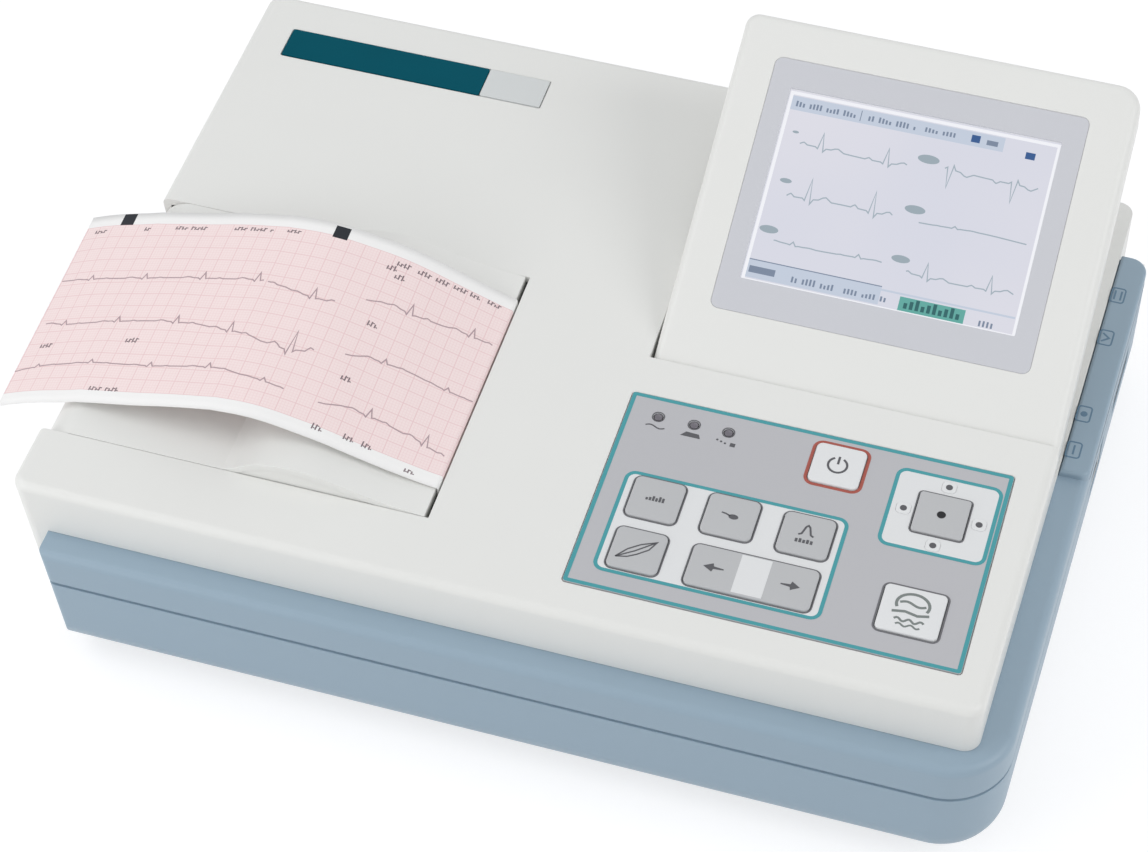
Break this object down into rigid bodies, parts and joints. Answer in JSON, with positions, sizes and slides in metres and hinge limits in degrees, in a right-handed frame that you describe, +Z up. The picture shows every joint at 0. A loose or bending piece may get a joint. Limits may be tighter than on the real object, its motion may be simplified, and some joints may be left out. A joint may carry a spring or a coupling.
{
  "type": "three-channel ecg machine",
  "caption": "Desk-top ECG recorder with a fold-up display, a key panel, side sockets and a thermal printer for folded paper under a hinged door.",
  "frame": {"origin": "on the table, under the middle of the whole part", "axes": "+X to the right as the user sees it, +Y to the rear, +Z up"},
  "size_m": [0.3332, 0.238, 0.1175],
  "materials": {
    "white_shell": "fine-textured moulded ABS, warm white",
    "blue_shell": "fine-textured moulded ABS, gray blue",
    "gray_film": "printed polycarbonate film, satin",
    "key_gray": "satin keycaps with printed signs",
    "key_white": "satin keycaps with printed signs",
    "teal_plate": "printed metallic teal, bare of any name",
    "pale_film": "pale silver film",
    "bezel_gray": "satin screen frame",
    "screen": "lit screen behind a clear hard face",
    "dark_plastic": "black moulded plastic",
    "tray_gray": "gray moulded plastic",
    "nylon": "natural nylon or acetal",
    "rubber_black": "ground black rubber",
    "steel": "plated steel",
    "aluminium": "extruded aluminium",
    "board_green": "glass-fibre circuit board with solder mask",
    "paper": "coated thermal paper with a printed pink grid",
    "clear_lens": "tinted light pipes"
  },
  "bodies": {
    "body": {"top_cover": "white_shell", "side_belt": "blue_shell", "base_shell": "blue_shell", "case_screw_front_left": "steel", "case_screw_front_right": "steel", "case_screw_rear_left": "steel", "case_screw_rear_right": "steel", "foot_front_left": "rubber_black", "foot_front_right": "rubber_black", "foot_rear_left": "rubber_black", "foot_rear_right": "rubber_black", "battery_door": "blue_shell", "battery_pack": "dark_plastic", "key_film": "gray_film", "light_comb": "clear_lens", "key_board": "board_green", "name_plate": "teal_plate", "small_plate": "pale_film", "door_pin": "steel", "printer_tray": "tray_gray", "feed_motor": "steel", "print_head": "aluminium", "head_bracket": "steel", "head_spring_front": "steel", "head_spring_rear": "steel", "paper_pack": "paper", "hinge_bracket_left": "steel", "hinge_bracket_right": "steel", "main_board": "board_green", "power_supply": "board_green", "patient_socket": "dark_plastic", "network_socket": "aluminium", "mains_inlet": "dark_plastic"},
    "display": {"display_front": "white_shell", "display_bezel": "bezel_gray", "screen_module": "screen", "display_back": "white_shell", "hinge_leaf_left": "steel", "hinge_leaf_right": "steel"},
    "door": {"paper_door": "white_shell", "paper_strip": "paper", "platen_bush_front": "nylon", "platen_bush_rear": "nylon"},
    "platen": {"platen_rubber": "rubber_black", "platen_shaft": "steel", "platen_gear": "nylon"},
    "idler": {"idler_gear": "nylon"},
    "pinion": {"motor_pinion": "steel"},
    "lead": {"lead_key": "key_gray"},
    "gain": {"gain_key": "key_gray"},
    "filter": {"filter_key": "key_gray"},
    "speed": {"speed_key": "key_gray"},
    "power": {"power_key": "key_white"},
    "print": {"print_key": "key_white"},
    "menu": {"menu_key": "key_gray"},
    "up": {"up_key": "key_white"},
    "down": {"down_key": "key_white"},
    "left": {"left_key": "key_white"},
    "right": {"right_key": "key_white"},
    "rocker": {"arrow_rocker": "key_gray"}
  },
  "joints": [
    {"name": "display_tilt", "type": "hinge", "parent": "body", "child": "display", "pos_m": [0.0909, -0.0018, 0.0615], "axis": [1, 0, 0], "range_deg": [-24, 21]},
    {"name": "door_hinge", "type": "hinge", "parent": "body", "child": "door", "pos_m": [-0.13543, -0.0355, 0.059], "axis": [0, -1, 0], "range_deg": [0, 75]},
    {"name": "platen_spin", "type": "hinge", "parent": "door", "child": "platen", "pos_m": [-0.02933, -0.0355, 0.0595], "axis": [0, 1, 0], "continuous": true},
    {"name": "idler_spin", "type": "hinge", "parent": "body", "child": "idler", "pos_m": [-0.02933, 0.0101, 0.04398], "axis": [0, 1, 0], "continuous": true},
    {"name": "pinion_spin", "type": "hinge", "parent": "body", "child": "pinion", "pos_m": [-0.01891, 0.0101, 0.03668], "axis": [0, 1, 0], "continuous": true},
    {"name": "lead_press", "type": "slide", "parent": "body", "child": "lead", "axis": [0, 0, -1], "range_m": [0, 0.0008], "stiffness_N_per_m": 800},
    {"name": "gain_press", "type": "slide", "parent": "body", "child": "gain", "axis": [0, 0, -1], "range_m": [0, 0.0008], "stiffness_N_per_m": 800},
    {"name": "filter_press", "type": "slide", "parent": "body", "child": "filter", "axis": [0, 0, -1], "range_m": [0, 0.0008], "stiffness_N_per_m": 800},
    {"name": "speed_press", "type": "slide", "parent": "body", "child": "speed", "axis": [0, 0, -1], "range_m": [0, 0.0008], "stiffness_N_per_m": 800},
    {"name": "power_press", "type": "slide", "parent": "body", "child": "power", "axis": [0, 0, -1], "range_m": [0, 0.0008], "stiffness_N_per_m": 800},
    {"name": "print_press", "type": "slide", "parent": "body", "child": "print", "axis": [0, 0, -1], "range_m": [0, 0.0008], "stiffness_N_per_m": 800},
    {"name": "menu_press", "type": "slide", "parent": "body", "child": "menu", "axis": [0, 0, -1], "range_m": [0, 0.0008], "stiffness_N_per_m": 800},
    {"name": "up_press", "type": "slide", "parent": "body", "child": "up", "axis": [0, 0, -1], "range_m": [0, 0.0008], "stiffness_N_per_m": 400},
    {"name": "down_press", "type": "slide", "parent": "body", "child": "down", "axis": [0, 0, -1], "range_m": [0, 0.0008], "stiffness_N_per_m": 400},
    {"name": "left_press", "type": "slide", "parent": "body", "child": "left", "axis": [0, 0, -1], "range_m": [0, 0.0008], "stiffness_N_per_m": 400},
    {"name": "right_press", "type": "slide", "parent": "body", "child": "right", "axis": [0, 0, -1], "range_m": [0, 0.0008], "stiffness_N_per_m": 400},
    {"name": "rocker_tilt", "type": "hinge", "parent": "body", "child": "rocker", "pos_m": [0.07716, -0.08132, 0.0639], "axis": [0, 1, 0], "range_deg": [-2.2, 2.2], "stiffness_Nm_per_rad": 0.4}
  ],
  "couplings": [
    {"joint": "idler_spin", "follows": "platen_spin", "ratio": -0.83333},
    {"joint": "pinion_spin", "follows": "platen_spin", "ratio": 1.6667}
  ]
}
